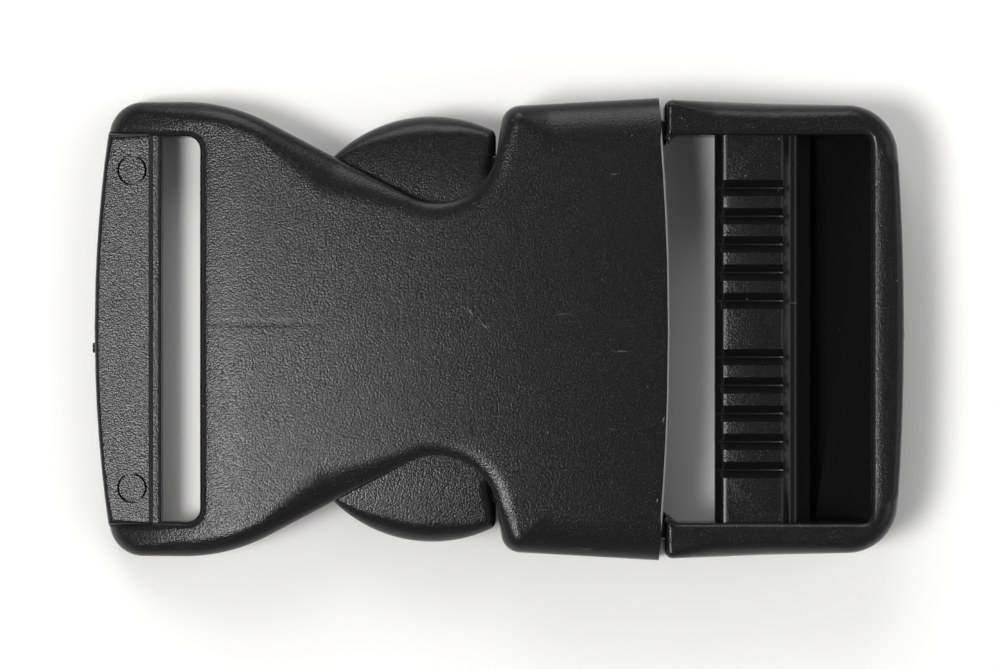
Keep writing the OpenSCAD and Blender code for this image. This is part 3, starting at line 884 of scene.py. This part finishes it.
# %% The grooves of the ladder bar
groove_n = 5
groove_pitch = 3.76
groove_w = 2.2
groove_d = 1.15
groove_floor = 0.2
groove_edge = 0.05
groove_slack = 0.01
TINY = 0.0001
centres = [side * k * groove_pitch for k in range(1, groove_n + 1) for side in (-1, 1)]
for centre in centres:
    for shift in (-groove_w / 2, -groove_floor / 2, groove_floor / 2, groove_w / 2):
        y = centre + shift
        bmesh.ops.bisect_plane(
            bm, geom=bm.verts[:] + bm.edges[:] + bm.faces[:], dist=TINY, plane_co=(0, y, 0),
            plane_no=(0, 1, 0))
sunk = land_z1 - groove_d
for vert in bm.verts:
    if vert.co.z > sunk and any(abs(vert.co.y - centre) < groove_floor for centre in centres):
        vert.co.z = sunk


def in_groove(edge):
    return not runs_along_y(edge) and min(vert.co.z for vert in edge.verts) > sunk - groove_slack


roll_edges(bm, groove_edge, keep=in_groove, sharper_than=12, segments=1)
combine(plug_shell, new_object(bm, "ladder_bar", SMOOTH), "UNION")

# %% [markdown]
# The shelf closes the lower side of the end slot. It slants down from the end bar and ends in a flat
# toe under the ladder bar, so that the webbing has to bend twice and can't slip.

# %% The shelf
shelf_t = 2.2
shelf_edge = 0.35
shelf_drop = 2
toe_t = 1.6
toe_x0 = ladder_x1 - 0.5
toe_x1 = ladder_x1 + 2.2
toe_z1 = frame_z0 + toe_t
slope_z1 = frame_z1 - shelf_drop
rise = math.atan((slope_z1 - toe_z1) / (end_bar_x0 - toe_x1))
under = shelf_t / math.sin(rise)
into_bar = 1
inside = end_bar_x0 + into_bar


def at_toe(edge):
    return runs_along_y(edge) and edge.verts[0].co.x < toe_x1 + 0.1


bm = bmesh.new()
bar_along_y(bm, [
    (toe_x0, frame_z0),
    (toe_x0, toe_z1),
    (toe_x1, toe_z1),
    (end_bar_x0, slope_z1),
    (inside, slope_z1),
    (inside, slope_z1 - (under - into_bar) * math.tan(rise)),
    (toe_x1 + under - toe_t / math.tan(rise), frame_z0),
], reach)
roll_edges(bm, shelf_edge, keep=at_toe)
combine(plug_shell, new_object(bm, "shelf", SMOOTH), "UNION")

end_scar_y = -0.7
end_scar = runner_scar(end_x - scar_in, end_scar_y, (frame_z0 + frame_z1) / 2, SMOOTH)
combine(plug_shell, end_scar, "UNION")

# %% [markdown]
# The base fills the mouth with a little play, and a neck on each side carries it out to the rails.
# The prong slides along the middle of the hollow and keeps the two halves in line.

# %% The base
base_edge = 0.5
base_z1 = socket_ceiling(base_x0) - fit_gap
root = side_wall(base_x0) - fit_gap
neck_half = side_wall(base_x1) - fit_gap

bm = bmesh.new()
block(bm, [
    (base_x0, root),
    (base_x0, -root),
    (base_x1, -neck_half),
    (base_x1, neck_half),
], base_z0, base_z1)
roll_edges(bm, base_edge)
combine(plug_shell, new_object(bm, "base", SMOOTH), "UNION")

# %% The necks between base and rails
inner_edge = 0.4
into_base = 1
neck_step = 0.05
neck_in = 0.1
neck_y = slot_half - 1.5
neck_run = 2.8
rail_x = frame_x0 + 3


def both_sides(bm):
    """Adds a copy across the middle and turns its faces the right way out."""
    bmesh.ops.mirror(
        bm, geom=bm.verts[:] + bm.edges[:] + bm.faces[:], matrix=Matrix.Identity(4), merge_dist=TINY,
        axis="Y")
    bmesh.ops.recalc_face_normals(bm, faces=bm.faces[:])


bm = bmesh.new()
block(bm, [
    (base_x1 - into_base, neck_half - neck_in),
    (base_x1 - into_base, neck_y),
    (base_x1, neck_y),
    (base_x1 + neck_run, slot_half + neck_in),
    (rail_x, slot_half + neck_in),
    (rail_x, neck_half - neck_in),
], base_z0 + neck_step, base_z1 - neck_step)
roll_edges(bm, inner_edge)
both_sides(bm)
combine(plug_shell, new_object(bm, "necks", SMOOTH), "UNION")

# %% The guide prong
prong_half = 2.3
prong_taper = 2
prong_step = 0.02
prong_t = 6
prong_root = base_x0 + 0.7
prong_tip = base_x0 - 26

bm = bmesh.new()
block(bm, [
    (prong_root, prong_half),
    (prong_tip + prong_taper, prong_half),
    (prong_tip, prong_half / 2),
    (prong_tip, -prong_half / 2),
    (prong_tip + prong_taper, -prong_half),
    (prong_root, -prong_half),
], base_z0 + prong_step, base_z0 + prong_t)
roll_edges(bm, inner_edge)
combine(plug_shell, new_object(bm, "prong", SMOOTH), "UNION")

# %% [markdown]
# Each arm is a straight spring with a small bend, and it carries a pad whose outer edge is an arc
# that a finger finds by feel. The pad is widest in the middle, and its outer edge rolls over more
# there than at the tip. It is drawn with the pen again and grown with the same rings.

# %% Arms
arm_t = 7
arm_w = 4.3
arm_mid = base_z0 + (socket_ceiling(window_x1) - fit_gap - base_z0) / 2
slack = 2 * fit_gap
arm_line = [
    (window_x1 - 4, catch_half - fit_gap),
    (window_x1 + 3, side_wall(window_x1 + 3) - slack),
    (base_x0 + 0.6, side_wall(base_x0) - slack),
]
arm_inside = [(x, y - arm_w) for x, y in reversed(arm_line)]

bm = bmesh.new()
block(bm, arm_line + arm_inside, arm_mid - arm_t / 2, arm_mid + arm_t / 2)
roll_edges(bm, inner_edge)
both_sides(bm)
combine(plug_shell, new_object(bm, "arms", SMOOTH), "UNION")

# %% Outline and height of the press pads
pad_r = 18.5
pad_span = 57
pad_x0 = window_x0 + 0.8
pad_x1 = window_x1 - 0.4
pad_middle = Vector((window_x1 - 9, pad_span / 2 - pad_r))
pad_fall = 0.9
pad_tip = 1.5


def pad_outer(x):
    return pad_middle.y + math.sqrt(pad_r ** 2 - (x - pad_middle.x) ** 2)


def pad_top(x, y):
    share = max(0, abs(y) - waist_half) / (pad_span / 2 - waist_half)
    return socket_ceiling(x) - fit_gap - pad_fall * share ** 2


first = Vector((pad_x0, pad_outer(pad_x0)))
last = Vector((pad_x1 - pad_tip, pad_outer(pad_x1 - pad_tip)))
tip_y = last.y - (pad_x1 - last.x) * (last.x - pad_middle.x) / (last.y - pad_middle.y)
swing = (first - pad_middle).angle(last - pad_middle)
pad_corner = pad_middle + ((first + last) / 2 - pad_middle).normalized() * pad_r / math.cos(swing / 2)
print("pad from", round(pad_x0, 2), "to", round(pad_x1, 2), "and out to", pad_span / 2)

# %% The press pads
pad_foot = 0.8
tip_roll = 0.5
full_roll = 2.1
heel_loss = 1.3

bm = bmesh.new()
draw_chain(bm, [
    (pad_x1, 21, 0, 2.2, 2.2),
    (pad_x1, 18.4, 1.2, 1, 0.8),
    (window_x1 - 12, 12.4, 9, 1, 0.8),
    (pad_x0 + 0.1, first.y - 1.9, 0, 0.5, 0.5),
    (first.x, first.y, 0, 0.5, 0.5),
    (pad_corner.x, pad_corner.y, pad_r, 2.6, 2.6),
    (pad_x1, tip_y, 1.3, 1.3, 1.3),
    (pad_x1, 21, 0, 2.2, 2.2),
])
roll, drop = pen_layers(bm)
for vert in bm.verts:
    if vert.co.y > first.y - 0.1:
        share = (vert.co.x - pad_x0) / (pad_x1 - pad_x0)
        depth = tip_roll + full_roll * math.sin(math.pi / 2 * min(1, share / 0.45))
        vert[roll] = vert[drop] = depth - heel_loss * max(0, share - 0.7) / 0.3
rolled_solid(
    bm, close_outline(bm, mirrored=False), foot=base_z0, foot_roll=pad_foot, top_at=pad_top, grid=0.8)
both_sides(bm)
combine(plug_shell, new_object(bm, "press_pads", GRAINED), "UNION")

# %% [markdown]
# The grain stops where the mould was polished. Of the ladder bar only the lands carry it, so the
# upward faces there are given the grained skin.

# %% Grained lands on the ladder bar
skin_in = 0.3
skin_down = 0.05
skin_half = slot_half + 0.4


def is_land(centre, normal):
    on_top = centre.z > land_z1 - skin_down and abs(centre.y) < skin_half
    return on_top and land_x0 + skin_in < centre.x < land_x1 - skin_in


def give_skin(piece, skin, chosen):
    """Gives a skin to the faces that chosen picks by their centre and normal."""
    count = 0
    for polygon in piece.data.polygons:
        if chosen(polygon.center, polygon.normal):
            polygon.material_index = skin
            count += 1
    print(piece.name, count, "faces of", piece.data.materials[skin].name)


give_skin(plug_shell, GRAINED, is_land)

# %% [markdown]
# A thin pale line of glints runs along the edge of the mouth. The slanted faces of the broken edge
# get the pale edge skin, which paints that highlight.

# %% The painted highlight on the mouth's edge
glint_reach = 2.4
glint_z0 = 12.5


def is_glint_edge(centre, normal):
    return centre.x > mouth_x - glint_reach and centre.z > glint_z0 and 0.5 < normal.x < 0.9


give_skin(socket_shell, GLINT, is_glint_edge)

# %% [markdown]
# ## Into the frame
# Both meshes go to metres. Their shading is smooth, except across edges that turn by more than 32
# degrees. Both ride on the one body that the buckle has, as it stays fastened.

# %% Scale, shade and hand over
SHARP_FROM = math.radians(32)

for piece, node, slot in (
    (socket_shell, "socket", "grained_plastic"),
    (plug_shell, "plug", "smooth_plastic"),
):
    piece.data.transform(Matrix.Scale(MM, 4))
    piece.data.shade_smooth()
    piece.data.set_sharp_from_angle(angle=SHARP_FROM)
    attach(piece, "root")
    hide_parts(node)
    print(piece.name, [round(v / MM, 2) for v in piece.dimensions], len(piece.data.polygons), "faces")

# %% [markdown]
# ## Paper, light and camera
# The photo was taken from straight above on white paper. A soft light stands high at the left, so
# the strap bar and the slope of the neck shine while the level end stays black. A broad window light
# comes in low over the upper side and draws the bright rims there, and a weak one from the right
# lights the end bar. The ceiling is darker than the walls. All of it is painted on the sky around
# the scene: that gives lights of any softness, and the roughness of the plastic alone decides how
# sharp their reflections are.

# %% The paper
paper_size = 2.0
paper_z = -0.0001
paper_white = (0.94, 0.94, 0.94, 1)

bm = bmesh.new()
bmesh.ops.create_grid(bm, x_segments=1, y_segments=1, size=paper_size / 2)
paper_mesh = bpy.data.meshes.new("paper")
bm.to_mesh(paper_mesh)
bm.free()
paper = bpy.data.objects.new("paper", paper_mesh)
bpy.context.scene.collection.objects.link(paper)
paper.location.z = paper_z
paper_skin = bpy.data.materials.new("plain_paper")
paper_skin.use_nodes = True
paper_shader = paper_skin.node_tree.nodes["Principled BSDF"]
paper_shader.inputs["Base Color"].default_value = paper_white
paper_shader.inputs["Roughness"].default_value = 0.9
paper_shader.inputs["Specular IOR Level"].default_value = 0.1
paper_mesh.materials.append(paper_skin)

# %% The room, with a dark ceiling and paler walls
ceiling_light = 0.17
wall_light = 0.45
ceiling_end, wall_start = 30, 80
room = bpy.data.worlds.new("room")
room.use_nodes = True
bpy.context.scene.world = room
tree = room.node_tree
way = tree.nodes.new("ShaderNodeTexCoord").outputs["Generated"]
parts = tree.nodes.new("ShaderNodeSeparateXYZ")
link(tree, way, parts.inputs[0])
walls = ramp(
    tree, parts.outputs["Z"], math.cos(math.radians(ceiling_end)), math.cos(math.radians(wall_start)))
brightness = calculate(
    tree, "ADD", ceiling_light, calculate(tree, "MULTIPLY", walls, wall_light - ceiling_light))


# %% Lights painted on the sky
def glow(brightness, azimuth, from_zenith, full, fade, strength):
    """Adds a round soft light: full inside one angle from its middle and gone at another."""
    a, t = math.radians(azimuth), math.radians(from_zenith)
    middle = tree.nodes.new("ShaderNodeVectorMath")
    middle.operation = "DOT_PRODUCT"
    link(tree, way, middle.inputs[0])
    middle.inputs[1].default_value = (math.sin(t) * math.cos(a), math.sin(t) * math.sin(a), math.cos(t))
    near = ramp(tree, middle.outputs["Value"], math.cos(math.radians(fade)), math.cos(math.radians(full)))
    return calculate(tree, "ADD", brightness, calculate(tree, "MULTIPLY", near, strength))


brightness = glow(brightness, azimuth=198, from_zenith=28, full=1, fade=13, strength=25)
brightness = glow(brightness, azimuth=100, from_zenith=60, full=4, fade=26, strength=4)
brightness = glow(brightness, azimuth=0, from_zenith=52, full=8, fade=35, strength=1.2)
background = tree.nodes["Background"]
background.inputs["Color"].default_value = (1, 0.995, 0.985, 1)
link(tree, brightness, background.inputs["Strength"])

# %% The camera
camera_height = 1.0
camera_x, camera_y = 0.0003, -0.00073
frame_width = 0.1333
looked_at = 0.012

camera_data = bpy.data.cameras.new("camera")
camera_data.sensor_width = 36
camera_data.lens = camera_data.sensor_width * (camera_height - looked_at) / frame_width
camera = bpy.data.objects.new("camera", camera_data)
bpy.context.scene.collection.objects.link(camera)
camera.location = (camera_x, camera_y, camera_height)
bpy.context.scene.camera = camera
bpy.context.scene.view_settings.view_transform = "Standard"
